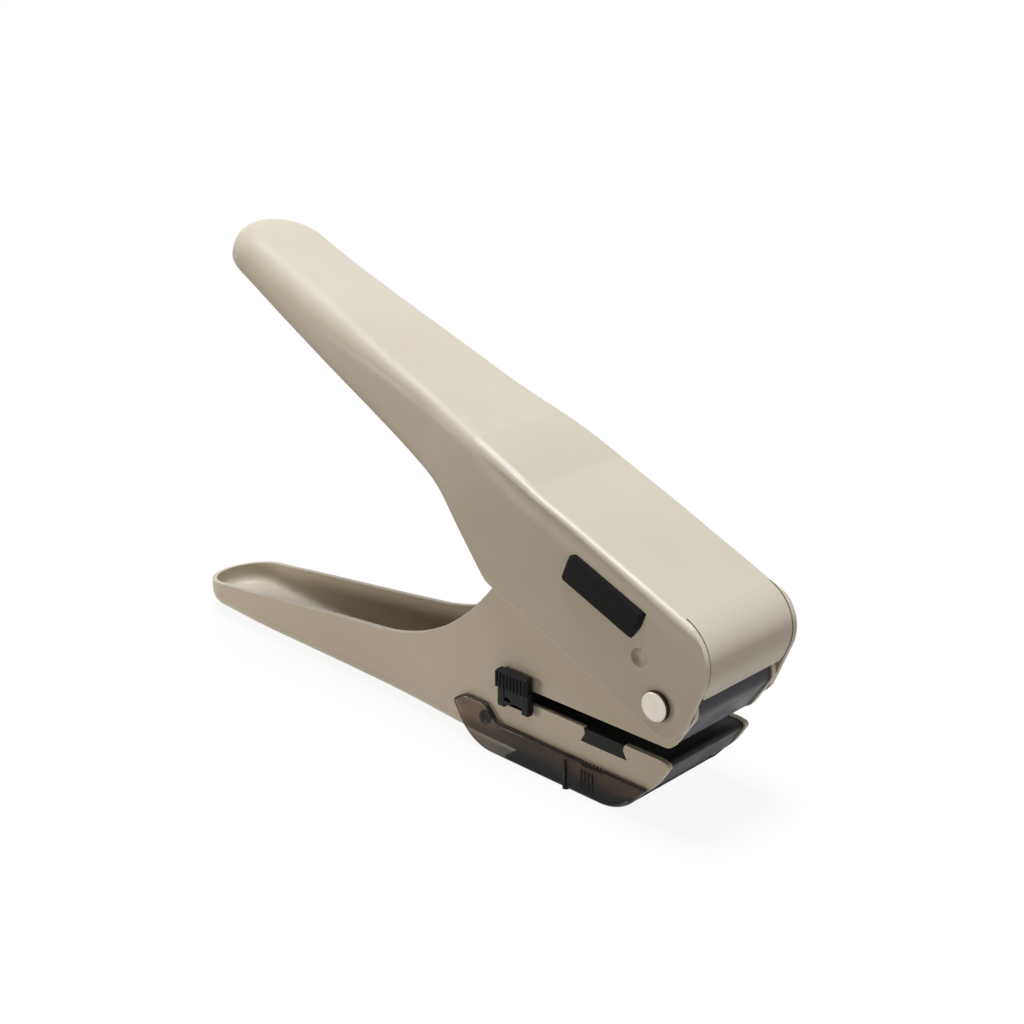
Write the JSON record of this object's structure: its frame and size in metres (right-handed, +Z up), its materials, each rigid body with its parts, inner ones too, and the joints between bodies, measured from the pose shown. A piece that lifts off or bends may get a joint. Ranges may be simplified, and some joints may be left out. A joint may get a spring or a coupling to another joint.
{
  "type": "card hole punch",
  "caption": "Hand-held single-hole card punch with two pressed-steel handles, a black cross bar over the cutter, a sliding depth stop in the throat and a smoke-clear chip tray.",
  "frame": {"origin": "on the table under the punch, where the flat bottom of the chip tray stands, halfway across", "axes": "+Z up; +X forward, out of the throat; +Y to the left of someone who looks along +X; the pivot pin runs along Y"},
  "size_m": [0.1731, 0.033, 0.1056],
  "materials": {
    "handle_paint": "warm light grey stoving paint, satin",
    "frame_paint": "warm light grey stoving paint, satin",
    "bar_black": "blackened steel, dull",
    "wear_steel": "ground steel",
    "guide_black": "black moulding, satin",
    "insert_black": "black moulding, satin",
    "gauge_black": "black moulding, satin",
    "cap_black": "blackened steel, lightly oiled",
    "bush_steel": "turned steel",
    "die_steel": "hardened, ground steel",
    "cutter_steel": "hardened, ground steel",
    "pin_steel": "bright plated steel, satin",
    "seat_steel": "plain washer steel",
    "spring_steel": "drawn spring wire",
    "tray_clear": "smoke-clear plastic, glossy"
  },
  "bodies": {
    "frame": {"lower_frame": "frame_paint", "punch_guide": "guide_black", "punch_bush": "bush_steel", "jaw_insert": "insert_black", "die_bush": "die_steel", "pivot_pin": "pin_steel", "pivot_bush": "bush_steel", "guide_pin": "pin_steel", "lower_spring_seat": "seat_steel"},
    "handle": {"upper_handle": "handle_paint", "drive_bar": "bar_black", "wear_plate": "wear_steel"},
    "punch": {"punch_pin": "cutter_steel", "punch_cap": "cap_black", "cap_ring": "spring_steel", "upper_spring_seat": "seat_steel", "punch_spring": "spring_steel"},
    "tray": {"chip_tray": "tray_clear"},
    "gauge": {"gauge_stop": "gauge_black", "gauge_grip_left": "gauge_black", "gauge_grip_right": "gauge_black"}
  },
  "joints": [
    {"name": "handle_press", "type": "hinge", "parent": "frame", "child": "handle", "pos_m": [0.0303, 0, 0.0282], "axis": [0, -1, 0], "range_deg": [0, 18], "stiffness_Nm_per_rad": 1, "springref_deg": -14.32},
    {"name": "punch_stroke", "type": "slide", "parent": "frame", "child": "punch", "axis": [0, 0, -1], "range_m": [0, 0.00535], "deforming": ["punch_spring"]},
    {"name": "tray_hinge", "type": "hinge", "parent": "frame", "child": "tray", "pos_m": [-0.0182, 0, 0.0081], "axis": [0, 1, 0], "range_deg": [0, 45]},
    {"name": "gauge_slide", "type": "slide", "parent": "frame", "child": "gauge", "axis": [1, 0, 0], "range_m": [0, 0.011]}
  ],
  "couplings": [
    {"joint": "punch_stroke", "follows": "handle_press", "m_per_rad": 0.01703}
  ]
}
